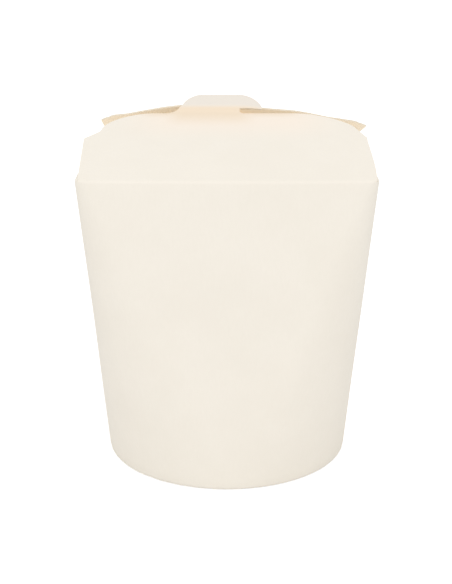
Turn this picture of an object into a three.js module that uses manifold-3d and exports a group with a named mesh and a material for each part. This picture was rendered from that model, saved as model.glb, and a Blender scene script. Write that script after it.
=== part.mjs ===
// A shut paper noodle box: a round foot, four-sided top and two main flaps held by a tongue.
// Millimetres, +Z up. The origin is on the floor at the middle of the foot. The front faces -Y.
import * as THREE from 'three';
import { mergeVertices } from 'three/addons/utils/BufferGeometryUtils.js';
import Module from 'manifold-3d';

// Body
const topWidth = 98;          // left to right, across the top creases
const topDepth = 86;          // front crease to rear crease
const creaseHeight = 107;     // floor to the creases
const footDiameter = 87.2;
const cornerRadius = 4;       // plan corners at the creases
const bowTurn = 1.5;          // degrees that each slightly bowed top side turns, either side of its middle
const cornerSteps = 14;       // facets round each corner of the body
const board = 0.5;            // thickness of the paper board

// Roof: the side flaps fold in under the main flaps and close the top to this point
const peakBack = 39;          // from the front crease to the peak

// Foot: the wall stands below the base as a rim
const rimThickness = 1.3;
const rimHeight = 7;
const baseGap = 0.35;         // clearance round the base disc
const footSegments = 96;
const cutClearance = 1;       // how far a cut runs past the surface that it opens

// Main flaps, measured from the crease along the flap
const flapHalfWidth = 47.3;
const flapReach = 44;         // crease to free edge
const rootHalfWidth = 45.6;   // narrower at the crease, where the corners are round
const flarePart = 0.14;       // share of the reach over which a flap widens to its full width
const shoulderReach = 26.6;   // where each straight side ends
const shoulderInset = 4.9;    // the shoulder's slanting cut
const shoulderRise = 4.4;
const flapCornerRadius = 13.5;
const flapCornerCentre = [28, 30.5];
const flapCornerStart = 10;   // degrees; the round corner starts here, above the shoulder cut
const flapCornerSteps = 8;
const frontSlope = 20;        // degrees above level
const rearSlope = 19.5;
const rearTilt = -0.041;      // degrees of slope for each millimetre to the right
const rearArch = 4.2;         // extra slope where the tongue lifts the rear flap
const rearArchCentre = -1.3;
const rearArchWidth = 22;
const rearShift = 2.9;        // the rear flap has slid this far to the right
const rearShiftReach = 5;
const middleColumns = 14;     // straight part of a free edge
const halfway = 0.5;

// Tongue on the front flap's free edge: a short steep neck, then a wider lobe over the rear flap
const neckLeft = -16.5;
const neckRight = 4.8;
const neckSlope = 44;
const neckStart = 1;          // path length over which the tongue turns up
const neckEnd = 2.2;          // the neck ends here
const lobeStart = 4.2;        // the lobe's own slope is reached here
const lobeTurnOut = 0.8;      // path length over which the lobe widens to the right
const lobeSlope = 20;
const lobeLeft = -14.6;
const lobeRight = 12.4;
const lobeCornerRadius = 5.6;
const lobeDroop = 0.8;        // the right-hand side of the lobe hangs this much lower
const tongueLength = 12;
const tongueSteps = 24;
const tongueColumns = 10;
const tongueRoot = 1.5;       // how far the tongue's own solid runs back into the flap

const mergeDistance = 1e-5;
const radians = THREE.MathUtils.degToRad;

const wasm = await Module();
wasm.setup();

function toSolid(geometry) {
  const bare = geometry.clone();
  bare.deleteAttribute('normal');
  bare.deleteAttribute('uv');
  const merged = mergeVertices(bare, mergeDistance);
  const vertProperties = new Float32Array(merged.attributes.position.array);
  const triVerts = new Uint32Array(merged.index.array);
  return new wasm.Manifold(new wasm.Mesh({ numProp: 3, vertProperties, triVerts }));
}

function toGeometry(solid) {
  const mesh = solid.getMesh();
  const geometry = new THREE.BufferGeometry();
  geometry.setAttribute('position', new THREE.BufferAttribute(new Float32Array(mesh.vertProperties), 3));
  geometry.setIndex(new THREE.BufferAttribute(new Uint32Array(mesh.triVerts), 1));
  geometry.computeVertexNormals();
  return geometry;
}

function meshFrom(points, triangles) {
  const geometry = new THREE.BufferGeometry();
  geometry.setAttribute('position', new THREE.Float32BufferAttribute(points.flat(), 3));
  geometry.setIndex(triangles.flat());
  return geometry;
}

// The top outline is made of arcs: a long one for each bowed side and a short one for each corner.
// The two long radii follow from the width, the depth and the corner radius.
function sideRadii() {
  const frontTurn = radians(bowTurn);
  const sideTurn = radians(90 - bowTurn);
  const a = Math.sin(frontTurn);
  const b = 1 - Math.sin(sideTurn);
  const c = 1 - Math.cos(frontTurn);
  const d = Math.cos(sideTurn);
  const halfWidth = topWidth / 2 - cornerRadius * (Math.sin(sideTurn) - Math.sin(frontTurn));
  const halfDepth = topDepth / 2 - cornerRadius * (Math.cos(frontTurn) - Math.cos(sideTurn));
  const scale = a * d - b * c;
  return { front: (halfWidth * d - b * halfDepth) / scale, side: (a * halfDepth - c * halfWidth) / scale };
}

// The point of the top outline whose outward normal is turned by this many degrees from the front.
function topPoint(turn) {
  const radius = sideRadii();
  const quarter = Math.floor(turn / 90) % 4;
  const folded = quarter % 2 === 0 ? turn % 90 : 90 - (turn % 90);
  const angle = radians(folded);
  const frontTurn = radians(bowTurn);
  let x = radius.front * Math.sin(Math.min(angle, frontTurn));
  let y = radius.front * (1 - Math.cos(Math.min(angle, frontTurn)));
  if (folded > bowTurn) {
    x += cornerRadius * (Math.sin(angle) - Math.sin(frontTurn));
    y += cornerRadius * (Math.cos(frontTurn) - Math.cos(angle));
  }
  if (folded > 90 - bowTurn) {
    x = topWidth / 2 - radius.side * (1 - Math.sin(angle));
    y = topDepth / 2 - radius.side * Math.cos(angle);
  }
  const right = quarter < 2 ? 1 : -1;
  const rear = quarter === 1 || quarter === 2 ? -1 : 1;
  return [right * x, rear * (y - topDepth / 2)];
}

// Turns of the outward normal, once round from the front by way of the right-hand side.
function outlineTurns() {
  const turns = [];
  for (let quarter = 0; quarter < 4; quarter++) {
    turns.push(quarter * 90);
    for (let step = 0; step <= cornerSteps; step++) {
      turns.push(quarter * 90 + bowTurn + (step / cornerSteps) * (90 - 2 * bowTurn));
    }
  }
  return turns;
}

// The wall runs straight from the round foot to the top outline, joining points with like normals,
// so that it is a true developable sheet. The roof closes the top to its peak.
function bodySolid() {
  const turns = outlineTurns();
  const count = turns.length;
  const peakHeight = creaseHeight + peakBack * Math.tan(radians(frontSlope));
  const points = [];
  for (const turn of turns) {
    const angle = radians(turn);
    points.push([(footDiameter / 2) * Math.sin(angle), (-footDiameter / 2) * Math.cos(angle), 0]);
  }
  for (const turn of turns) {
    const [x, y] = topPoint(turn);
    points.push([x, y, creaseHeight]);
  }
  const middle = points.push([0, 0, 0]) - 1;
  const peak = points.push([0, peakBack - topDepth / 2, peakHeight]) - 1;
  const triangles = [];
  for (let i = 0; i < count; i++) {
    const next = (i + 1) % count;
    triangles.push([i, next, count + next], [i, count + next, count + i]);
    triangles.push([next, i, middle], [count + i, count + next, peak]);
  }
  return toSolid(meshFrom(points, triangles));
}

function footRecess() {
  const radius = footDiameter / 2 - rimThickness;
  const profile = [
    new THREE.Vector2(0, -cutClearance),
    new THREE.Vector2(radius, -cutClearance),
    new THREE.Vector2(radius, rimHeight),
    new THREE.Vector2(0, rimHeight),
  ];
  return toSolid(new THREE.LatheGeometry(profile, footSegments).rotateX(Math.PI / 2));
}

// A flap's outline as columns from side to side: distance across, and reach from the crease.
function flapColumns() {
  const [centre, rise] = flapCornerCentre;
  const half = [];
  for (let i = 0; i < middleColumns / 2; i++) {
    half.push([(i / (middleColumns / 2)) * centre, flapReach]);
  }
  for (let i = 0; i <= flapCornerSteps; i++) {
    const angle = radians(90 - (i / flapCornerSteps) * (90 - flapCornerStart));
    half.push([centre + flapCornerRadius * Math.cos(angle), rise + flapCornerRadius * Math.sin(angle)]);
  }
  half.push([flapHalfWidth - shoulderInset, shoulderReach + shoulderRise]);
  half.push([flapHalfWidth, shoulderReach]);
  const mirrored = half.slice(1).reverse().map(([across, reach]) => [-across, reach]);
  return [...mirrored, ...half];
}

// A closed sheet from a grid of middle points and normals, one row after another.
function sheetSolid(rows) {
  const columns = rows[0].length;
  const points = [];
  for (const side of [0.5, -0.5]) {
    for (const row of rows) {
      for (const { at, normal } of row) {
        points.push(at.clone().addScaledVector(normal, side * board).toArray());
      }
    }
  }
  const lower = rows.length * columns;
  const triangles = [];
  const quad = (a, b, c, d) => triangles.push([a, b, c], [a, c, d]);
  for (let r = 0; r + 1 < rows.length; r++) {
    for (let c = 0; c + 1 < columns; c++) {
      const i = r * columns + c;
      quad(i, i + 1, i + columns + 1, i + columns);
      quad(lower + i, lower + i + columns, lower + i + columns + 1, lower + i + 1);
    }
    const left = r * columns;
    const right = left + columns - 1;
    quad(left, left + columns, lower + left + columns, lower + left);
    quad(right + columns, right, lower + right, lower + right + columns);
  }
  for (let c = 0; c + 1 < columns; c++) {
    const last = (rows.length - 1) * columns + c;
    quad(c + 1, c, lower + c, lower + c + 1);
    quad(last, last + 1, lower + last + 1, lower + last);
  }
  return toSolid(meshFrom(points, triangles));
}

// How wide a flap is, as a share of its full width, at this part of its reach.
function widthShare(part) {
  return THREE.MathUtils.lerp(rootHalfWidth / flapHalfWidth, 1, Math.min(1, part / flarePart));
}

function frontFlap() {
  const slope = radians(frontSlope);
  const normal = new THREE.Vector3(0, -Math.sin(slope), Math.cos(slope));
  const columns = flapColumns();
  const row = (part) => columns.map(([across, reach]) => {
    const run = reach * part;
    const x = across * widthShare(part);
    const y = run * Math.cos(slope) - topDepth / 2;
    return { at: new THREE.Vector3(x, y, creaseHeight + run * Math.sin(slope)), normal };
  });
  return sheetSolid([row(0), row(flarePart), row(1)]);
}

// The rear flap is ruled: each column runs straight from the crease, at the slope of its own place.
function rearFlap() {
  const columns = flapColumns();
  const row = (part) => columns.map(([across, reach]) => {
    const arch = rearArch * Math.exp(-(((across - rearArchCentre) / rearArchWidth) ** 2));
    const slope = radians(rearSlope + rearTilt * across + arch);
    const run = reach * part;
    const x = across * widthShare(part) + rearShift * (1 - Math.exp(-run / rearShiftReach));
    const y = topDepth / 2 - run * Math.cos(slope);
    const normal = new THREE.Vector3(0, Math.sin(slope), Math.cos(slope));
    return { at: new THREE.Vector3(x, y, creaseHeight + run * Math.sin(slope)), normal };
  });
  // the crease is drawn last, so that the rows run towards the rear as the front flap's do
  return sheetSolid([row(1), row(halfway), row(flarePart), row(0)]);
}

function tongueSides(along) {
  const turned = THREE.MathUtils.smoothstep(along, neckEnd, neckEnd + lobeTurnOut);
  const narrowed = THREE.MathUtils.smoothstep(along, neckEnd, lobeStart);
  const left = THREE.MathUtils.lerp(neckLeft, lobeLeft, narrowed);
  const right = THREE.MathUtils.lerp(neckRight, lobeRight, turned);
  const intoCorner = THREE.MathUtils.clamp(lobeCornerRadius - (tongueLength - along), 0, lobeCornerRadius);
  const inset = lobeCornerRadius - Math.sqrt(lobeCornerRadius ** 2 - intoCorner ** 2);
  return [left + inset, right - inset];
}

function tongue() {
  const first = radians(frontSlope);
  let y = (flapReach - tongueRoot) * Math.cos(first) - topDepth / 2;
  let z = creaseHeight + (flapReach - tongueRoot) * Math.sin(first);
  const step = (tongueLength + tongueRoot) / tongueSteps;
  const rows = [];
  for (let i = 0; i <= tongueSteps; i++) {
    const along = i * step - tongueRoot;
    const rise = THREE.MathUtils.smoothstep(along, 0, neckStart);
    const lay = THREE.MathUtils.smoothstep(along, neckEnd, lobeStart);
    const degrees = frontSlope + (neckSlope - frontSlope) * rise + (lobeSlope - neckSlope) * lay;
    const slope = radians(degrees);
    const normal = new THREE.Vector3(0, -Math.sin(slope), Math.cos(slope));
    const [left, right] = tongueSides(along);
    const row = [];
    for (let c = 0; c <= tongueColumns; c++) {
      const x = THREE.MathUtils.lerp(left, right, c / tongueColumns);
      const past = Math.max(0, (x - neckRight) / (lobeRight - neckRight));
      row.push({ at: new THREE.Vector3(x, y, z - lobeDroop * past ** 2), normal });
    }
    rows.push(row);
    y += step * Math.cos(slope);
    z += step * Math.sin(slope);
  }
  return sheetSolid(rows);
}

// A flat disc of board near the top of the recess, inside the rim.
function baseDisc() {
  const outer = footDiameter / 2 - rimThickness - baseGap;
  const top = rimHeight - baseGap;
  const profile = [
    new THREE.Vector2(0, top - board),
    new THREE.Vector2(outer, top - board),
    new THREE.Vector2(outer, top),
    new THREE.Vector2(0, top),
  ];
  return new THREE.LatheGeometry(profile, footSegments).rotateX(Math.PI / 2);
}

const cream = new THREE.MeshStandardMaterial({ color: 0xf4ebdf, roughness: 0.62, metalness: 0 });
const underside = new THREE.MeshStandardMaterial({ color: 0xefe6d9, roughness: 0.7, metalness: 0 });

const carton = bodySolid().subtract(footRecess()).add(frontFlap()).add(rearFlap()).add(tongue());

const box = new THREE.Group();
const cartonMesh = new THREE.Mesh(toGeometry(carton), cream);
cartonMesh.name = 'carton';
box.add(cartonMesh);
const baseMesh = new THREE.Mesh(baseDisc(), underside);
baseMesh.name = 'base_disc';
box.add(baseMesh);

export default box;
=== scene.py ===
import math

import bpy
import numpy as np
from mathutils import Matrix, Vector


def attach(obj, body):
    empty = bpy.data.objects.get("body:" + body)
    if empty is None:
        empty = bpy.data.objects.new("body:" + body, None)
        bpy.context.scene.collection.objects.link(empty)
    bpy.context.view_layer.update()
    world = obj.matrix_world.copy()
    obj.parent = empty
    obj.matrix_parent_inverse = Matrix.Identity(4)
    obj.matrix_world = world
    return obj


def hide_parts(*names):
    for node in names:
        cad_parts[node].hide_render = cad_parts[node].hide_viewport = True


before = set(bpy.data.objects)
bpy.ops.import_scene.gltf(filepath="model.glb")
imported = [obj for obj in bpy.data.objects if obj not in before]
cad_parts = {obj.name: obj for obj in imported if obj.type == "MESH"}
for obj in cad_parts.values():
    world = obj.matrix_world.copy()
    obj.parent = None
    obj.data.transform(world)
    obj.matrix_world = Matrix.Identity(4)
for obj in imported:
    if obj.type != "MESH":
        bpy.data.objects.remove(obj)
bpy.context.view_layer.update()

# A shut noodle box of thin white board, shaped around the frame. The front faces -Y.
# Shapes are worked out in millimetres and scaled to metres when a mesh is made.
mm = 0.001


def smoothStep(low, high, value):
    # 0 below low, 1 above high, and 3t^2 - 2t^3 between them
    part = np.clip((value - low) / (high - low), 0, 1)
    return part * part * (3 - 2 * part)


def mix(first, second, part):
    return first + (second - first) * part


def unit(vectors):
    return vectors / np.linalg.norm(vectors, axis=-1, keepdims=True)


def gridQuads(rows, columns, turned=False, closed=False):
    # the quads of a grid whose points are numbered row by row
    first = np.arange(rows - 1)[:, None] * columns
    across = np.arange(columns if closed else columns - 1)[None, :]
    nextAcross = (across + 1) % columns
    corners = [first + across, first + nextAcross, first + columns + nextAcross, first + columns + across]
    if turned:
        corners.reverse()
    return np.stack([corner.ravel() for corner in corners], axis=1)


welding = {
    "distance": 2e-4,        # points of two grids that lie this close become one
    "shift": 0.317,          # keeps round numbers off the border between two keys
}


def meshFromGrids(name, grids):
    # joins grids into one mesh: points whose places round down to the same key become one
    points, quads, masks, start = [], [], {}, 0
    maskNames = sorted({key for grid in grids for key in grid["masks"]})
    for grid in grids:
        rows, columns = grid["points"].shape[:2]
        points.append(grid["points"].reshape(-1, 3))
        quads.append(start + gridQuads(rows, columns, grid.get("turned", False), grid.get("closed", False)))
        for key in maskNames:
            values = np.broadcast_to(grid["masks"].get(key, 0.0), (rows, columns))
            masks.setdefault(key, []).append(values.ravel())
        start += rows * columns
    points, quads = np.concatenate(points), np.concatenate(quads)
    keys = np.floor(points / welding["distance"] + welding["shift"]).astype(np.int64)
    _, kept, number = np.unique(keys, axis=0, return_index=True, return_inverse=True)
    quads = number.ravel()[quads]
    points = points[kept]
    edges = np.sort(quads, axis=1)
    whole = (np.diff(edges, axis=1) > 0).all(axis=1)
    faces = quads[whole].tolist()
    for quad in quads[~whole].tolist():   # a quad with two welded corners is a triangle
        corners = list(dict.fromkeys(quad))
        if len(corners) == 3:
            faces.append(corners)
    mesh = bpy.data.meshes.new(name)
    mesh.from_pydata(points * mm, [], faces)
    mesh.update()
    for key in maskNames:
        values = np.concatenate(masks[key])[kept].astype(np.float32)
        mesh.attributes.new(key, "FLOAT", "POINT").data.foreach_set("value", values)
    mesh.shade_smooth()
    piece = bpy.data.objects.new(name, mesh)
    bpy.context.scene.collection.objects.link(piece)
    return piece


# Body: a straight sheet from a round foot to a four-sided top whose sides are slightly bowed.
body = {
    "topWidth": 98,        # left to right, across the creases
    "topDepth": 86,
    "creaseHeight": 107,
    "footDiameter": 87.2,
    "cornerRadius": 4,
    "bowTurn": 1.5,        # degrees that a side turns, either side of its middle
    "board": 0.5,          # thickness of the board
    "foldReach": 0.9,      # how far the rounding of a crease runs, either side of it
    "leastFold": 0.02,     # share of it that is left halfway between two flaps
    "foldRows": 4,         # on each side of the crease
    "foldTintReach": 1.0,  # the crease's lighter line, partly wear of the coating and partly a painted highlight, fades over this distance
    "foldTintNear": 0.3,   # distance that counts for the whole rounding
    "downStep": 2.0,       # the wall's direction at the crease is taken over this height
    "rimWidth": 1.3,       # the wall turns in under itself to make the rim
    "rimHeight": 7,
    "wallRows": 34,
    "rimRows": 8,
    "hemRows": 5,
    "cornerColumns": 10,
    "cockle": 0.22,        # the panels' slight unevenness
    "cockleStart": 0.7,    # where its waves stand, and how they turn and wander up the wall
    "cockleTurn": 2.1,
    "cockleRise": 5,
    "cockleWander": 1.3,
    "seamTurn": 212,       # where the glued seam runs down, in degrees round from the front
    "seamStep": 0.42,
    "seamWidth": 13,
    "seamSpan": 90,        # degrees past the seam that its lap can reach
    "seamEdge": 0.02,      # degrees either side of the seam's edge
}
crease = body["creaseHeight"]
halfWidth = body["topWidth"] / 2
halfDepth = body["topDepth"] / 2
footRadius = body["footDiameter"] / 2
cornerRadius = body["cornerRadius"]
bow = math.radians(body["bowTurn"])


def outlineRadii():
    # the long radii of the bowed sides that fit the width, the depth and the corner radius
    a, b = math.sin(bow), 1 - math.cos(bow)
    width = halfWidth - cornerRadius * (math.cos(bow) - a)
    depth = halfDepth - cornerRadius * (math.cos(bow) - a)
    scale = a * a - b * b
    return (width * a - b * depth) / scale, (a * depth - b * width) / scale


frontRadius, sideRadius = outlineRadii()


def topOutline(turn):
    # x and y of the top outline where its outward normal has turned this many degrees from the front
    turn = np.asarray(turn, float) % 360
    quarter = np.floor(turn / 90).astype(int)
    within = turn % 90
    angle = np.radians(np.where(quarter % 2 == 0, within, 90 - within))
    onFront, onCorner = np.minimum(angle, bow), np.maximum(angle, bow)
    x = frontRadius * np.sin(onFront) + cornerRadius * (np.sin(onCorner) - math.sin(bow))
    y = frontRadius * (1 - np.cos(onFront)) + cornerRadius * (math.cos(bow) - np.cos(onCorner))
    onSide = angle > math.pi / 2 - bow
    x = np.where(onSide, halfWidth - sideRadius * (1 - np.sin(angle)), x)
    y = np.where(onSide, halfDepth - sideRadius * np.cos(angle), y)
    right = np.where(quarter < 2, 1, -1)
    rear = np.where((quarter == 1) | (quarter == 2), -1, 1)
    return right * x, rear * (y - halfDepth)


def turnAcross(distance, radius):
    # degrees from the middle of a crease at this distance along it: on the long arc, then on the corner
    far = np.abs(distance)
    straight = radius * math.sin(bow)
    long = np.arcsin(np.clip(far / radius, 0, 1))
    corner = np.arcsin(np.clip(math.sin(bow) + (far - straight) / cornerRadius, 0, 1))
    return np.sign(distance) * np.degrees(np.where(far <= straight, long, corner))


def wallPoint(turn, height, inset=0.0):
    # the point on the straight line that joins the foot circle to the top outline where both have this
    # normal, then moved inwards by the cockle, the seam's step and the inset
    turn, height, inset = np.broadcast_arrays(np.asarray(turn, float), height, inset)
    angle = np.radians(turn)
    topX, topY = topOutline(turn)
    part = height / crease
    x = mix(footRadius * np.sin(angle), topX, part)
    y = mix(-footRadius * np.cos(angle), topY, part)
    around = np.sin(2 * angle + body["cockleStart"] + body["cockleTurn"] * part)
    upwards = np.sin(body["cockleRise"] * part + body["cockleWander"] * np.sin(3 * angle))
    cockle = body["cockle"] * (0.5 + 0.5 * (around * upwards)) * np.sin(math.pi * np.clip(part, 0, 1)) ** 2
    past = (turn - body["seamTurn"]) % 360
    seamX, seamY = topOutline(body["seamTurn"])
    seamAngle = math.radians(body["seamTurn"])
    fromSeam = np.hypot(x - mix(footRadius * math.sin(seamAngle), seamX, part),
                        y - mix(-footRadius * math.cos(seamAngle), seamY, part))
    covered = (past < body["seamSpan"]) * (1 - np.clip(inset / body["rimWidth"], 0, 1))
    seam = body["seamStep"] * (1 - smoothStep(0, body["seamWidth"], fromSeam)) * covered
    inwards = cockle + seam + inset
    return np.stack([x - inwards * np.sin(angle), y + inwards * np.cos(angle), height + 0 * x], axis=-1)


# Main flaps. A flap is ruled: each column runs straight up from the crease to the free edge.
flaps = {
    "reach": 44,             # crease to free edge
    "flareReach": 25,        # the sides run from their root's width to their end's over this distance
    "cutColumns": 4,
    "edgeColumns": 9,
    "cornerColumns": 16,
    "middleColumns": 16,
    "rows": 30,
    "rowEase": 0.5,          # 0 spaces the rows evenly, 1 crowds them at both ends
    "swellPower": 0.7,       # below 1 the sides swell most near the crease
    "settleReach": 5,        # the bow of the crease fades out over this distance
    "frontSlope": 20,        # degrees above level
    "rearShift": 2.5,        # the rear flap has slid this far to the right
    "rearShiftReach": 5,
    "rearDip": 0.8,          # its free edge is pressed down where the neck crosses it
    "rearDipPatch": ((34, 43), (-16, -9), (6, 12)),   # from the crease upwards, on the left, on the right
    # degrees above level at places across the rear flap, which the tongue lifts in the middle
    "rearPlaces": (-47.6, -43, -37, -31, -25, -19, -11, 0, 8, 14, 20, 26, 32, 38, 44, 47.6),
    "rearSlopes": (20.8, 20.4, 19.8, 20.8, 22.2, 23.2, 23.5, 23.0, 22.2, 21.4, 20.9, 19.6, 17.9, 17.3,
                   17.1, 16.5),
    "rearBlend": 3,          # each slope is averaged this far to either side
    "rearBlendSteps": 9,
}

# The flaps' corners, from the flap's middle and from the crease: half the width at the crease, where the
# straight side ends, where the slanting cut ends, a rounding of this power from there to the free edge, and
# how far the side swells outwards near the crease.
corners = {
    "frontLeft": {"root": 47.2, "sideEnd": (47.5, 27.0), "cutEnd": (42.8, 31.4),
                  "roundStart": (42.2, 32.6), "roundEnd": 25, "power": 1.75, "swell": 0},
    "frontRight": {"root": 47.3, "sideEnd": (46.7, 27.6), "cutEnd": (44.4, 31.8),
                   "roundStart": (43.4, 33.6), "roundEnd": 24, "power": 1.5, "swell": 0.5},
    "rear": {"root": 47.2, "sideEnd": (47.65, 28.6), "cutEnd": (45.5, 32.4),
             "roundStart": (44.2, 34.0), "roundEnd": 30, "power": 1.6, "swell": 0},
}

# Tongue on the front flap's free edge: a short steep neck, then a wider lobe over the rear flap.
tongue = {
    "neckLeft": -16.5,
    "neckRight": 4.4,
    "neckSlope": 44,
    "neckStart": 1,          # path length over which the tongue turns up
    "neckEnd": 2.2,
    "lobeStart": 4.2,        # the lobe's own slope is reached here
    "turnOut": 0.8,          # path length over which the lobe widens to the right
    "lobeSlope": 20,
    "lobeLeft": -15.5,
    "lobeRight": 12.2,
    "tintFade": 1,           # the lobe's painted grey shade is full this far past its start
    "rootLeft": -20.5,       # fillets where the neck leaves the free edge
    "rootRight": 5.7,
    "leftFillet": 2.6,
    "rightFillet": 1.0,
    "cornerLength": 8.6,     # how far along the path each rounded corner runs
    "leftCorner": 6.3,       # how far across it runs
    "rightCorner": 7.6,
    "leftPower": 1.65,       # 2 is an ellipse, and less is nearer to a straight cut
    "rightPower": 1.8,
    "droop": 0.8,            # the right-hand side of the lobe hangs this much lower
    "length": 11.5,
    "pathPoints": 1201,
    "columns": 22,
    "straightRows": 22,
    "cornerRows": 30,
}

# Side flaps: they fold in first, and the main flaps lie on their slanting edges.
sideFlaps = {
    "slope": 16.2,           # degrees above level
    "rootHalfWidth": 40.9,
    "taper": 0.788,          # half width lost for each millimetre inwards
    "reach": 49,
    "tipRound": 3,           # rounding of the tip's corners
    "leastReach": 0.95,
    "columns": 61,
    "rows": 24,
}


def cornerColumns(corner):
    # across and reach from the free edge outwards: across^p + rise^p = 1 round the corner, then two cuts
    part = np.sin(np.linspace(0, math.pi / 2, flaps["cornerColumns"]))
    startAcross, startReach = corner["roundStart"]
    rise = (1 - part ** corner["power"]) ** (1 / corner["power"])
    roundAcross = mix(corner["roundEnd"], startAcross, part)
    rounding = np.stack([roundAcross, mix(startReach, flaps["reach"], rise)], axis=1)
    cutEnd, sideEnd = np.array(corner["cutEnd"]), np.array(corner["sideEnd"])
    inner = mix(rounding[-1], cutEnd, np.linspace(0, 1, flaps["cutColumns"])[1:, None])
    outer = mix(cutEnd, sideEnd, np.linspace(0, 1, flaps["edgeColumns"])[1:, None])
    return np.concatenate([rounding, inner, outer])


def flapColumns(middle, left, right):
    # across and reach of each column, from left to right, with the given places along the straight free edge
    edge = np.stack([middle, np.full(middle.shape, float(flaps["reach"]))], axis=1)
    return np.concatenate([cornerColumns(left)[::-1] * [-1, 1], edge, cornerColumns(right)])


def flapShare(across, run, left, right):
    # the flap's width at this distance from the crease, over its width where the sides end: it runs evenly
    # from the root's width, and the swell times sin(pi t^p) is added on the way
    part = np.clip(run / flaps["flareReach"], 0, 1)
    end = np.where(across < 0, left["sideEnd"][0], right["sideEnd"][0])
    root = np.where(across < 0, left["root"], right["root"])
    swell = np.where(across < 0, left["swell"], right["swell"])
    return mix(root / end, 1.0, part) + swell / end * np.sin(math.pi * part ** flaps["swellPower"])


def edgePlaces():
    # where the front flap's columns meet the straight free edge: the tongue's own columns are among them
    leftEnd, rightEnd = corners["frontLeft"]["roundEnd"], corners["frontRight"]["roundEnd"]
    left = np.linspace(-leftEnd, tongue["rootLeft"], flaps["middleColumns"] // 3)[1:-1]
    neck = np.linspace(tongue["rootLeft"], tongue["rootRight"], tongue["columns"] + 1)
    right = np.linspace(tongue["rootRight"], rightEnd, flaps["middleColumns"])[1:-1]
    return np.concatenate([left, neck, right])


def sideColumns():
    # distance from the middle of the side crease, and reach: slanting edges and a softly rounded tip
    half = sideFlaps["rootHalfWidth"]
    across = half * np.sin(np.linspace(-1, 1, sideFlaps["columns"]) * math.pi / 2)
    slanting = (half - np.abs(across)) / sideFlaps["taper"]
    blend = np.clip(0.5 + (slanting - sideFlaps["reach"]) / (2 * sideFlaps["tipRound"]), 0, 1)
    reach = mix(slanting, sideFlaps["reach"], blend) - sideFlaps["tipRound"] * blend * (1 - blend)
    return np.stack([across, np.maximum(reach, sideFlaps["leastReach"])], axis=1)


def frontSurface(across, run):
    # a plane at the front slope
    slope = math.radians(flaps["frontSlope"])
    share = flapShare(across, run, corners["frontLeft"], corners["frontRight"])
    y = run * math.cos(slope) - halfDepth
    return np.stack([across * share, y, crease + run * math.sin(slope)], axis=-1)


def patch(x, run, limits):
    # 1 inside a patch of a flap, fading to 0 towards the crease, to the left and to the right
    rise, left, right = limits
    return smoothStep(*rise, run) * smoothStep(*left, x) * (1 - smoothStep(*right, x))


def rearSlope(across):
    # straight lines between the given slopes, averaged over a triangle of places around each point
    total, weights = 0, 0
    for offset in np.linspace(-1, 1, flaps["rearBlendSteps"])[1:-1]:
        weight = 1 - abs(offset)
        place = across + offset * flaps["rearBlend"]
        total = total + weight * np.interp(place, flaps["rearPlaces"], flaps["rearSlopes"])
        weights += weight
    return np.radians(total / weights)


def rearSurface(across, run):
    # ruled at a slope that changes across the flap, slid to the right and pressed down under the neck
    slope = rearSlope(across)
    share = flapShare(across, run, corners["rear"], corners["rear"])
    x = across * share + flaps["rearShift"] * (1 - np.exp(-run / flaps["rearShiftReach"]))
    z = crease + run * np.sin(slope) - flaps["rearDip"] * patch(x, run, flaps["rearDipPatch"])
    return np.stack([x, halfDepth - run * np.cos(slope), z], axis=-1)


def sideSurface(right):
    # a plane rising inwards from the right-hand crease for 1, the left-hand one for -1
    slope = math.radians(sideFlaps["slope"])

    def surface(across, run):
        x = right * (halfWidth - run * math.cos(slope))
        return np.stack([x, across + 0 * run, crease + run * math.sin(slope)], axis=-1)
    return surface


# Patches of the front flap where light and shade are painted into the colour: from the crease upwards, on
# the left, on the right.
ridge = {
    # the first patch takes a painted warm glow; the two after it take painted warm shade
    "warm": ((24, 40), (-40, -18), (20, 42)),
    "below": ((34, 44.5), (-23, -15), (3, 12)),       # below the tongue's neck
    "edge": ((40.5, 43.8), (-32, -24), (18, 28)),     # along the free edge
    "edgeStrength": 0.8,
}


def ridgeGlowAndShade(points, run):
    # painted warm glow, for light coming through the board, over the upper middle of the front flap, and
    # painted warm shade near the free edge under the rear flap, most of all below the tongue's neck
    x = points[..., 0]
    edge = ridge["edgeStrength"] * patch(x, run, ridge["edge"])
    return {"warm": patch(x, run, ridge["warm"]), "neck": np.maximum(patch(x, run, ridge["below"]), edge)}


def noPaintedLight(points, run):
    return {}


frontColumns = flapColumns(edgePlaces(), corners["frontLeft"], corners["frontRight"])
rearPlaces = np.linspace(-1, 1, 3 * flaps["middleColumns"])[1:-1] * corners["rear"]["roundEnd"]
rearColumns = flapColumns(rearPlaces, corners["rear"], corners["rear"])[::-1]
frontRoots = frontSurface(frontColumns[:, 0], 0 * frontColumns[:, 0])[:, 0]
rearRoots = rearSurface(rearColumns[:, 0], 0 * rearColumns[:, 0])[:, 0]
rightColumns = sideColumns()
leftColumns = rightColumns[::-1]

# Once round the box from the front: a flap's columns as turns, what its surface is, its rows and the light
# and shade painted on it.
sides = [
    {"turns": turnAcross(frontRoots, frontRadius), "columns": frontColumns,
     "surface": frontSurface, "rows": flaps["rows"], "paintedLight": ridgeGlowAndShade},
    {"turns": 90 + turnAcross(rightColumns[:, 0], sideRadius), "columns": rightColumns,
     "surface": sideSurface(1), "rows": sideFlaps["rows"], "paintedLight": noPaintedLight},
    {"turns": 180 - turnAcross(rearRoots, frontRadius), "columns": rearColumns,
     "surface": rearSurface, "rows": flaps["rows"], "paintedLight": noPaintedLight},
    {"turns": 270 - turnAcross(leftColumns[:, 0], sideRadius), "columns": leftColumns,
     "surface": sideSurface(-1), "rows": sideFlaps["rows"], "paintedLight": noPaintedLight},
]


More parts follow.
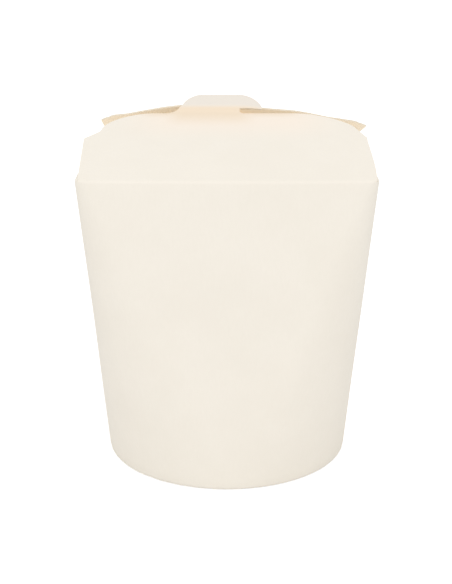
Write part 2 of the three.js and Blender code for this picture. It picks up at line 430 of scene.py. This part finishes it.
def flapPoints(side, run):
    # the flap's surface, with the crease's small bow away from it fading along the flap
    across = side["columns"][:, 0]
    offset = wallPoint(side["turns"], crease) - side["surface"](across, 0 * across)
    flat = side["surface"](np.broadcast_to(across, run.shape), run)
    return flat + offset * np.exp(-run / flaps["settleReach"])[..., None]


def flapDirection(side):
    # which way the board leads from the crease, at each column
    reach = np.full(len(side["columns"]), body["foldReach"])
    return unit(flapPoints(side, reach) - wallPoint(side["turns"], crease))


def foldPoints(corner, down, along, reach, parts):
    # the bend at a crease: (1-t)^2 W + 2t(1-t) C + t^2 F, W below the corner C and F beyond it on the flap
    t = np.asarray(parts)[:, None, None]
    below, beyond = corner + reach[:, None] * down, corner + reach[:, None] * along
    return (1 - t) ** 2 * below + 2 * t * (1 - t) * corner + t ** 2 * beyond


def foldWearAndHighlight(distance):
    # a lighter line along a crease, partly wear of the coating and partly a painted highlight: exp(-(d /
    # r)^2), where d is the distance from the crease and r the line's reach
    return np.exp(-((distance / body["foldTintReach"]) ** 2))


def wallDown(turn, corner):
    return unit(wallPoint(turn, crease - body["downStep"]) - corner)


def flapGrid(side):
    # the bend's upper half, then the flap
    turn, reach = side["turns"], side["columns"][:, 1]
    corner = wallPoint(turn, crease)
    even = np.linspace(0, 1, side["rows"])[:, None]
    eased = mix(even, smoothStep(0, 1, even), flaps["rowEase"])
    run = body["foldReach"] + (reach - body["foldReach"]) * eased
    flat = flapPoints(side, run)
    bend = np.full(len(reach), float(body["foldReach"]))
    upper = np.linspace(0.5, 1, body["foldRows"] + 1)[:-1]
    fold = foldPoints(corner, wallDown(turn, corner), flapDirection(side), bend, upper)
    points = np.concatenate([fold, flat])
    distance = np.concatenate([np.full((len(fold), len(reach)), body["foldTintNear"]), run])
    # the crease's lighter line, partly wear and partly painted highlight, and on the front flap its painted
    # glow and shade
    masks = {"fold": foldWearAndHighlight(distance), **side["paintedLight"](points, distance)}
    return {"points": points, "masks": masks}


def wallGrid():
    # columns once round: the flaps' own, and between them the corners, where the bend fades to a free edge
    turns, along, reach = [], [], []
    for number, side in enumerate(sides):
        following = sides[(number + 1) % len(sides)]
        last = side["turns"][-1]
        first = following["turns"][0] + (360 if number == len(sides) - 1 else 0)
        even = np.linspace(0, 1, body["cornerColumns"] + 2)[1:-1]
        corner = mix(last, first, even)
        seam = [body["seamTurn"] - body["seamEdge"], body["seamTurn"] + body["seamEdge"]]
        if last < body["seamTurn"] < first:
            corner = np.sort(np.concatenate([corner, seam]))
            even = (corner - last) / (first - last)
        lead = flapDirection(side)
        turned = unit(mix(lead[-1], flapDirection(following)[0], even[:, None]))
        turns += [side["turns"], corner]
        along += [lead, turned]
        reach += [np.full(len(lead), 1.0), (2 * even - 1) ** 2]
    turns, along = np.concatenate(turns), np.concatenate(along)
    reach = body["foldReach"] * np.maximum(np.concatenate(reach), body["leastFold"])
    top = wallPoint(turns, crease)
    down = wallDown(turns, top)
    fold = foldPoints(top, down, along, reach, np.linspace(0.5, 0, body["foldRows"] + 1)[:-1])
    highest = crease + reach * down[:, 2]
    lowest = body["rimWidth"] / 2
    even = np.linspace(0, 1, body["wallRows"])[:, None]
    height = mix(highest, lowest, even)
    wall = wallPoint(turns, height)
    angle = np.linspace(0, math.pi, body["rimRows"])[1:, None]
    rim = wallPoint(turns, lowest - lowest * np.sin(angle), lowest - lowest * np.cos(angle))
    hemHeight = np.linspace(lowest, body["rimHeight"], body["hemRows"])[1:, None]
    hem = wallPoint(turns, hemHeight, np.full_like(hemHeight, body["rimWidth"]))
    points = np.concatenate([fold, wall, rim, hem])
    # the crease's lighter line, partly wear and partly painted highlight, none on the rim and hem
    foldWearAndHighlightMask = np.concatenate([foldWearAndHighlight(np.full(fold.shape[:2], body["foldTintNear"])),
                               foldWearAndHighlight(crease - height), np.zeros(rim.shape[:2]), np.zeros(hem.shape[:2])])
    return {"points": points, "masks": {"fold": foldWearAndHighlightMask}, "turned": True, "closed": True}


def drawnIn(part, power):
    # 1 - (1 - t^p)^(1/p): how far a rounded corner has drawn in at t of its length
    return 1 - (1 - part ** power) ** (1 / power)


def tongueGrid():
    # carried along its path from the free edge; at each step it has a slope, a left and a right side
    length, corner = tongue["length"], tongue["cornerLength"]
    straight = np.linspace(0, length - corner, tongue["straightRows"])
    turn = np.linspace(0, math.pi / 2, tongue["cornerRows"])[1:]
    along = np.concatenate([straight, length - corner + corner * np.sin(turn)])
    fine = np.linspace(0, length, tongue["pathPoints"])
    rise = smoothStep(0, tongue["neckStart"], fine)
    lay = smoothStep(tongue["neckEnd"], tongue["lobeStart"], fine)
    degrees = flaps["frontSlope"] + (tongue["neckSlope"] - flaps["frontSlope"]) * rise
    slope = np.radians(degrees + (tongue["lobeSlope"] - tongue["neckSlope"]) * lay)
    step = np.diff(fine)
    pathY = np.concatenate([[0], np.cumsum(np.cos(slope[:-1]) * step)])
    pathZ = np.concatenate([[0], np.cumsum(np.sin(slope[:-1]) * step)])
    first = frontSurface(np.array(0.0), np.array(float(flaps["reach"])))
    y = first[1] + np.interp(along, fine, pathY)
    z = first[2] + np.interp(along, fine, pathZ)
    widenedLeft = smoothStep(tongue["neckEnd"], tongue["lobeStart"], along)
    left = mix(tongue["neckLeft"], tongue["lobeLeft"], widenedLeft)
    widenedRight = smoothStep(tongue["neckEnd"], tongue["neckEnd"] + tongue["turnOut"], along)
    right = mix(tongue["neckRight"], tongue["lobeRight"], widenedRight)
    leftFillet = np.clip(1 - along / tongue["leftFillet"], 0, 1) ** 2
    rightFillet = np.clip(1 - along / tongue["rightFillet"], 0, 1) ** 2
    left = left + (tongue["rootLeft"] - tongue["neckLeft"]) * leftFillet
    right = right + (tongue["rootRight"] - tongue["neckRight"]) * rightFillet
    into = np.clip(1 - (length - along) / corner, 0, 1)
    left = left + tongue["leftCorner"] * drawnIn(into, tongue["leftPower"])
    right = right - tongue["rightCorner"] * drawnIn(into, tongue["rightPower"])
    spread = np.linspace(0, 1, tongue["columns"] + 1)
    x = mix(left[:, None], right[:, None], spread)
    overhang = tongue["lobeRight"] - tongue["neckRight"]
    past = np.maximum(0, (x - tongue["neckRight"]) / overhang)
    points = np.stack([x, y[:, None] + 0 * x, z[:, None] - tongue["droop"] * past ** 2], axis=-1)
    # the neck takes the painted warm glow and the darker painted warm shade; the lobe takes a painted grey
    # shade
    lobe = smoothStep(tongue["neckEnd"], tongue["lobeStart"] + tongue["tintFade"], along)[:, None] + 0 * x
    return {"points": points, "masks": {"warm": 1 - lobe, "neck": 1 - lobe, "lobe": lobe}}


crispAngle = 35              # edges that turn more than this many degrees stay crisp


def finishSheet(piece):
    # gives the sheet its thickness, inwards, and keeps sharp turns and the cut edges crisp
    solid = piece.modifiers.new("board", "SOLIDIFY")
    solid.thickness = body["board"] * mm
    solid.offset = -1
    solid.use_even_offset = False
    solid.use_quality_normals = True
    solid.material_offset = 1
    solid.material_offset_rim = 2
    evaluated = piece.evaluated_get(bpy.context.evaluated_depsgraph_get())
    finished = bpy.data.meshes.new_from_object(evaluated)
    piece.modifiers.clear()
    piece.data = finished
    finished.set_sharp_from_angle(angle=math.radians(crispAngle))


carton = meshFromGrids("carton_board", [wallGrid(), tongueGrid()] + [flapGrid(side) for side in sides])
print("carton shaped:", len(carton.data.polygons), "faces in the sheet")

# Base: a round of board whose turned-down skirt stands inside the rim, crimped all round.
base = {
    "skirtRadius": 41.95,
    "top": 6.65,
    "skirtBottom": 1.1,
    "cornerRadius": 1.1,
    "pressedRadius": 36,     # a shallow ring pressed into the base
    "pressedWidth": 1.1,
    "pressedDepth": 0.28,
    "middleRings": (0.0, 34, 16),        # from this radius to that, and how many
    "pressedRings": (34.4, 37.6, 13),
    "outerStart": 38.2,
    "outerRings": 5,
    "bendRows": 7,
    "skirtRows": 9,
    "outsideRows": 5,
    "topRows": 9,
    "dome": 0.25,            # the middle sinks this much
    "crimps": 144,
    "crimpDepth": 0.09,
    "crimpSpan": (0.05, 0.9),   # the part of half a wave that a crimp follows down the skirt
    "around": 576,
}


def baseGrid():
    # a profile of radius and height carried once round the axis: the underside from the middle outwards,
    # down the inside of the skirt, under its edge, up its outside and back over the top
    board, outer, bendRadius = body["board"], base["skirtRadius"], base["cornerRadius"]
    inner = outer - board
    under = base["top"] - board
    outerRadii = np.linspace(base["outerStart"], inner - bendRadius, base["outerRings"])
    middleRadii = np.linspace(*base["middleRings"])
    pressedRadii = np.linspace(*base["pressedRings"])
    radius = np.concatenate([middleRadii, pressedRadii, outerRadii])
    ring = base["pressedDepth"] * np.exp(-(((radius - base["pressedRadius"]) / base["pressedWidth"]) ** 2))
    sink = base["dome"] * (1 - (radius / outer) ** 2)
    angle = np.linspace(math.pi / 2, 0, base["bendRows"])[1:]
    bend = inner - bendRadius + bendRadius * np.cos(angle)
    bendHeight = under - bendRadius + bendRadius * np.sin(angle)
    skirt = np.linspace(bendHeight[-1], base["skirtBottom"] + board / 2, base["skirtRows"])[1:]
    edge = np.linspace(math.pi, 2 * math.pi, base["bendRows"])[1:]
    middle = outer - board / 2
    edgeRadius, edgeHeight = middle + board / 2 * np.cos(edge), skirt[-1] + board / 2 * np.sin(edge)
    outside = np.linspace(skirt[-1], base["top"] - bendRadius, base["outsideRows"])[1:]
    backAngle = np.linspace(0, math.pi / 2, base["bendRows"])[1:]
    back = outer - bendRadius + bendRadius * np.cos(backAngle)
    backHeight = base["top"] - bendRadius + bendRadius * np.sin(backAngle)
    overTop = np.linspace(back[-1], 0.0, base["topRows"])[1:]
    profileRadius = np.concatenate([radius, bend, np.full(skirt.shape, inner), edgeRadius,
                                    np.full(outside.shape, outer), back, overTop])
    profileHeight = np.concatenate([under - sink + ring, bendHeight, skirt, edgeHeight, outside, backHeight,
                                    base["top"] - base["dome"] * (1 - (overTop / outer) ** 2)])
    crimped = np.zeros(profileRadius.shape)
    start = len(radius) + len(bend)
    crimped[start:start + len(skirt)] = np.sin(math.pi * np.linspace(*base["crimpSpan"], len(skirt)))
    turn = np.arange(base["around"]) / base["around"] * 2 * math.pi
    wave = 0.5 - 0.5 * np.cos(base["crimps"] * turn)
    reach = profileRadius[:, None] - base["crimpDepth"] * crimped[:, None] * wave
    height = profileHeight[:, None] + 0 * turn
    points = np.stack([reach * np.cos(turn), reach * np.sin(turn), height], axis=-1)
    masks = {"crimp": crimped[:, None] * wave}
    return {"points": points, "masks": masks, "closed": True}


baseDisc = meshFromGrids("base_board", [baseGrid()])
baseDisc.data.set_sharp_from_angle(angle=math.radians(crispAngle))
print("base shaped:", len(baseDisc.data.polygons), "faces")


# Finishes. Colours are linear red, green and blue.
def shaderGroup(name, inputs, outputs):
    group = bpy.data.node_groups.new(name, "ShaderNodeTree")
    for label, kind, value in inputs:
        socket = group.interface.new_socket(name=label, in_out="INPUT", socket_type=kind)
        if value is not None:
            socket.default_value = value
    for label, kind in outputs:
        group.interface.new_socket(name=label, in_out="OUTPUT", socket_type=kind)
    return group, group.nodes.new("NodeGroupInput"), group.nodes.new("NodeGroupOutput")


def mathNode(tree, operation, first, second):
    node = tree.nodes.new("ShaderNodeMath")
    node.operation = operation
    for socket, value in zip(node.inputs, (first, second)):
        if hasattr(value, "links"):
            tree.links.new(value, socket)
        else:
            socket.default_value = value
    return node.outputs[0]


def noiseNode(tree, vector, scale, detail, roughness=0.5):
    node = tree.nodes.new("ShaderNodeTexNoise")
    node.inputs["Detail"].default_value = detail
    node.inputs["Roughness"].default_value = roughness
    if hasattr(scale, "links"):
        tree.links.new(scale, node.inputs["Scale"])
    else:
        node.inputs["Scale"].default_value = scale
    tree.links.new(vector, node.inputs["Vector"])
    return node.outputs["Fac"]


def mapRange(tree, value, low, high, outLow, outHigh):
    node = tree.nodes.new("ShaderNodeMapRange")
    node.interpolation_type = "SMOOTHSTEP"
    tree.links.new(value, node.inputs["Value"])
    for label, number in zip(("From Min", "From Max", "To Min", "To Max"), (low, high, outLow, outHigh)):
        node.inputs[label].default_value = number
    return node.outputs["Result"]


def mixColour(tree, factor, first, second):
    node = tree.nodes.new("ShaderNodeMix")
    node.data_type = "RGBA"
    slots = [s for s in node.inputs if s.type == "RGBA"]
    tree.links.new(factor, node.inputs["Factor"])
    for socket, value in zip(slots, (first, second)):
        if hasattr(value, "links"):
            tree.links.new(value, socket)
        else:
            socket.default_value = (*value, 1)
    return next(s for s in node.outputs if s.type == "RGBA")


paper = {
    "stretch": (1.0, 1.0, 0.28),     # fibres are drawn out upwards
    "lean": 12,                      # degrees that they lean from upright
    "cloudDetail": 3.0,
    "fibreDetail": 4.0,
    "fibreRoughness": 0.62,
    "poreScale": 620.0,
    "poreDetail": 2.0,
    "fibreRange": (0.32, 0.68),      # of the noise, spread from 0 to 1
    "cloudRange": (0.3, 0.7),
    "heightRange": (0.3, 0.7),
    "fibreShare": 0.6,               # of the grain's height, with pores for the rest
    "poreShare": 0.4,
    "roughnessSpread": 0.05,
    "grainHeight": 0.00004,          # metres
}


def fibreGroup():
    # paper: soft clouds of tone, short fibres lying mostly one way, and the grain that they raise
    group, inside, outside = shaderGroup("paperFibre", [
        ("Vector", "NodeSocketVector", None),
        ("Cloud Scale", "NodeSocketFloat", 70.0),
        ("Fibre Scale", "NodeSocketFloat", 1500.0),
    ], [("Cloud", "NodeSocketFloat"), ("Fibre", "NodeSocketFloat"), ("Height", "NodeSocketFloat")])
    stretch = group.nodes.new("ShaderNodeMapping")
    stretch.inputs["Scale"].default_value = paper["stretch"]
    stretch.inputs["Rotation"].default_value = (0.0, math.radians(paper["lean"]), 0.0)
    group.links.new(inside.outputs["Vector"], stretch.inputs["Vector"])
    cloud = noiseNode(group, inside.outputs["Vector"], inside.outputs["Cloud Scale"], paper["cloudDetail"])
    fibre = noiseNode(group, stretch.outputs["Vector"], inside.outputs["Fibre Scale"],
                      paper["fibreDetail"], paper["fibreRoughness"])
    pore = noiseNode(group, inside.outputs["Vector"], paper["poreScale"], paper["poreDetail"])
    group.links.new(cloud, outside.inputs["Cloud"])
    group.links.new(mapRange(group, fibre, *paper["fibreRange"], 0.0, 1.0), outside.inputs["Fibre"])
    fibreHeight = mathNode(group, "MULTIPLY", fibre, paper["fibreShare"])
    poreHeight = mathNode(group, "MULTIPLY", pore, paper["poreShare"])
    group.links.new(mathNode(group, "ADD", fibreHeight, poreHeight), outside.inputs["Height"])
    return group


paperFibre = fibreGroup()


def maskNode(tree, name):
    node = tree.nodes.new("ShaderNodeAttribute")
    node.attribute_name = name
    return node.outputs["Fac"]


def paperMaterial(name, finish):
    material = bpy.data.materials.new(name)
    material.use_nodes = True
    tree = material.node_tree
    shader = tree.nodes["Principled BSDF"]
    place = tree.nodes.new("ShaderNodeTexCoord")
    fibre = tree.nodes.new("ShaderNodeGroup")
    fibre.node_tree = paperFibre
    fibre.inputs["Cloud Scale"].default_value = finish["cloudScale"]
    fibre.inputs["Fibre Scale"].default_value = finish["fibreScale"]
    tree.links.new(place.outputs["Object"], fibre.inputs["Vector"])
    cloud = mapRange(tree, fibre.outputs["Cloud"], *paper["cloudRange"], 0.0, 1.0)
    colour = mixColour(tree, cloud, finish["colour"], finish["cloudColour"])
    fibreMask = mathNode(tree, "MULTIPLY", fibre.outputs["Fibre"], finish["fibreStrength"])
    colour = mixColour(tree, fibreMask, colour, finish["fibreColour"])
    # colours mixed in by each mask; several of them are painted light and shade
    for mask, shade, strength in finish["masks"]:
        amount = mathNode(tree, "MULTIPLY", maskNode(tree, mask), strength)
        colour = mixColour(tree, amount, colour, shade)
    tree.links.new(colour, shader.inputs["Base Color"])
    smoothest = finish["roughness"] - paper["roughnessSpread"]
    roughest = finish["roughness"] + paper["roughnessSpread"]
    rough = mapRange(tree, fibre.outputs["Height"], *paper["heightRange"], smoothest, roughest)
    tree.links.new(rough, shader.inputs["Roughness"])
    shader.inputs["Specular IOR Level"].default_value = finish["specular"]
    # painted glow: emission on the surface, standing in for light that comes through the board
    if "glow" in finish:
        shader.inputs["Emission Color"].default_value = (*finish["glowColour"], 1)
        shader.inputs["Emission Strength"].default_value = finish["glow"]
    bump = tree.nodes.new("ShaderNodeBump")
    bump.inputs["Strength"].default_value = finish["bump"]
    bump.inputs["Distance"].default_value = paper["grainHeight"]
    tree.links.new(fibre.outputs["Height"], bump.inputs["Height"])
    tree.links.new(bump.outputs["Normal"], shader.inputs["Normal"])
    return material


finishes = {
    "outside": {
        "colour": (0.915, 0.862, 0.772), "cloudColour": (0.900, 0.846, 0.754), "cloudScale": 60.0,
        "fibreColour": (0.868, 0.815, 0.722), "fibreStrength": 0.22, "fibreScale": 1500.0,
        # mixed over the board's colour: a lighter crease line, partly wear of the coating and partly a
        # painted highlight; a painted warm glow; painted warm shade under the rear flap and on the tongue's
        # neck; painted grey shade on the lobe
        "masks": [("fold", (0.950, 0.878, 0.775), 0.15), ("warm", (0.955, 0.853, 0.745), 0.9),
                  ("neck", (0.883, 0.742, 0.575), 0.9), ("lobe", (0.858, 0.796, 0.716), 0.95)],
        "roughness": 0.56, "specular": 0.2, "bump": 0.25,
    },
    "inside": {
        # the inner face is a darker, warmer tan than the outside
        "colour": (0.875, 0.780, 0.630), "cloudColour": (0.845, 0.745, 0.590), "cloudScale": 60.0,
        "fibreColour": (0.78, 0.66, 0.49), "fibreStrength": 0.3, "fibreScale": 1300.0,
        "masks": [], "roughness": 0.66, "specular": 0.2, "bump": 0.35,
        "glow": 0.21, "glowColour": (1.0, 0.90, 0.76),   # painted glow: emission standing in for daylight that comes through the board
    },
    "edge": {
        "colour": (0.90, 0.83, 0.71), "cloudColour": (0.86, 0.77, 0.63), "cloudScale": 240.0,
        "fibreColour": (0.74, 0.62, 0.46), "fibreStrength": 0.4, "fibreScale": 2400.0,
        "masks": [], "roughness": 0.8, "specular": 0.15, "bump": 0.6,
    },
    "base": {
        "colour": (0.880, 0.828, 0.745), "cloudColour": (0.850, 0.795, 0.705), "cloudScale": 90.0,
        "fibreColour": (0.80, 0.73, 0.61), "fibreStrength": 0.35, "fibreScale": 1200.0,
        "masks": [("crimp", (0.93, 0.88, 0.80), 0.5)],
        "roughness": 0.68, "specular": 0.2, "bump": 0.4,
    },
}

for name in ("outside", "inside", "edge"):
    carton.data.materials.append(paperMaterial("board_" + name, finishes[name]))
finishSheet(carton)
baseDisc.data.materials.append(paperMaterial("board_base", finishes["base"]))
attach(carton, "root")
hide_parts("carton")
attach(baseDisc, "root")
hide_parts("base_disc")
print("carton finished:", len(carton.data.polygons), "faces")

# Stage: a white floor, an even pale surround and one soft lamp.
stage = {
    "floorRadius": 3.0,
    "floorOpening": 0.041,   # the floor is open inside the foot's rim, which lets light reach the base
    "floorSides": 96,
    "floorDrop": 0.0002,
    "floorTone": 0.875,
    "cameraGlow": 0.45,      # added where the camera sees the floor
    "surround": 0.9,
    "surroundSeen": 1.1,     # its strength where the camera sees it
    "keyPower": 4.4,
    "keySize": 1.2,
    "keyPlace": (-0.08, -1.35, 1.1),
    "keyAim": (0, 0, 0.06),
}


def makeFloor():
    # a flat ring: both circles have the same number of points, joined in pairs
    count = stage["floorSides"]
    turn = np.arange(count) / count * 2 * math.pi
    rings = [np.stack([radius * np.cos(turn), radius * np.sin(turn), 0 * turn - stage["floorDrop"]], axis=1)
             for radius in (stage["floorOpening"], stage["floorRadius"])]
    mesh = bpy.data.meshes.new("floor")
    mesh.from_pydata(np.concatenate(rings), [], gridQuads(2, count, turned=True, closed=True).tolist())
    floor = bpy.data.objects.new("floor", mesh)
    bpy.context.scene.collection.objects.link(floor)
    material = bpy.data.materials.new("floorWhite")
    material.use_nodes = True
    tree = material.node_tree
    tree.nodes.clear()
    shade = tree.nodes.new("ShaderNodeBsdfDiffuse")
    shade.inputs["Color"].default_value = (stage["floorTone"],) * 3 + (1,)
    glow = tree.nodes.new("ShaderNodeEmission")
    lit = tree.nodes.new("ShaderNodeAddShader")
    clear = tree.nodes.new("ShaderNodeBsdfTransparent")
    either = tree.nodes.new("ShaderNodeMixShader")
    path = tree.nodes.new("ShaderNodeLightPath")
    side = tree.nodes.new("ShaderNodeNewGeometry")
    out = tree.nodes.new("ShaderNodeOutputMaterial")
    glowSeen = mathNode(tree, "MULTIPLY", path.outputs["Is Camera Ray"], stage["cameraGlow"])
    tree.links.new(glowSeen, glow.inputs["Strength"])
    tree.links.new(shade.outputs[0], lit.inputs[0])
    tree.links.new(glow.outputs[0], lit.inputs[1])
    tree.links.new(side.outputs["Backfacing"], either.inputs[0])   # clear when seen from below
    tree.links.new(lit.outputs[0], either.inputs[1])
    tree.links.new(clear.outputs[0], either.inputs[2])
    tree.links.new(either.outputs[0], out.inputs["Surface"])
    mesh.materials.append(material)
    return floor


def makeSurround():
    world = bpy.data.worlds.new("surround")
    world.use_nodes = True
    background = world.node_tree.nodes["Background"]
    background.inputs["Color"].default_value = (1, 1, 1, 1)
    background.inputs["Strength"].default_value = stage["surround"]
    path = world.node_tree.nodes.new("ShaderNodeLightPath")
    seen = world.node_tree.nodes.new("ShaderNodeBackground")
    seen.inputs["Color"].default_value = (1, 1, 1, 1)
    seen.inputs["Strength"].default_value = stage["surroundSeen"]
    both = world.node_tree.nodes.new("ShaderNodeMixShader")
    out = world.node_tree.nodes["World Output"]
    world.node_tree.links.new(path.outputs["Is Camera Ray"], both.inputs[0])
    world.node_tree.links.new(background.outputs[0], both.inputs[1])
    world.node_tree.links.new(seen.outputs[0], both.inputs[2])
    world.node_tree.links.new(both.outputs[0], out.inputs["Surface"])
    bpy.context.scene.world = world


def makeLamp():
    data = bpy.data.lights.new("key", "AREA")
    data.shape = "DISK"
    data.size = stage["keySize"]
    data.energy = stage["keyPower"]
    lamp = bpy.data.objects.new("key", data)
    lamp.location = stage["keyPlace"]
    aim = Vector(stage["keyAim"]) - Vector(stage["keyPlace"])
    lamp.rotation_euler = aim.to_track_quat("-Z", "Y").to_euler()
    bpy.context.scene.collection.objects.link(lamp)


makeFloor()
makeSurround()
makeLamp()
print("stage set")

# Camera: the photograph's view, a little above the box and looking down on it.
view = {
    "place": (-0.0003, -0.4005, 0.1849),
    "lookDown": 17.71,       # degrees below level
    "lens": 71.53,
    "sensor": 36,
    "clipStart": 0.01,
}


def makeCamera():
    data = bpy.data.cameras.new("camera")
    data.lens = view["lens"]
    data.sensor_width = view["sensor"]
    data.clip_start = view["clipStart"]
    camera = bpy.data.objects.new("camera", data)
    camera.location = view["place"]
    camera.rotation_euler = (math.radians(90 - view["lookDown"]), 0, 0)
    bpy.context.scene.collection.objects.link(camera)
    bpy.context.scene.camera = camera


makeCamera()
settings = bpy.context.scene.view_settings
settings.view_transform = "Standard"
settings.look = "None"
settings.exposure = 0
settings.gamma = 1
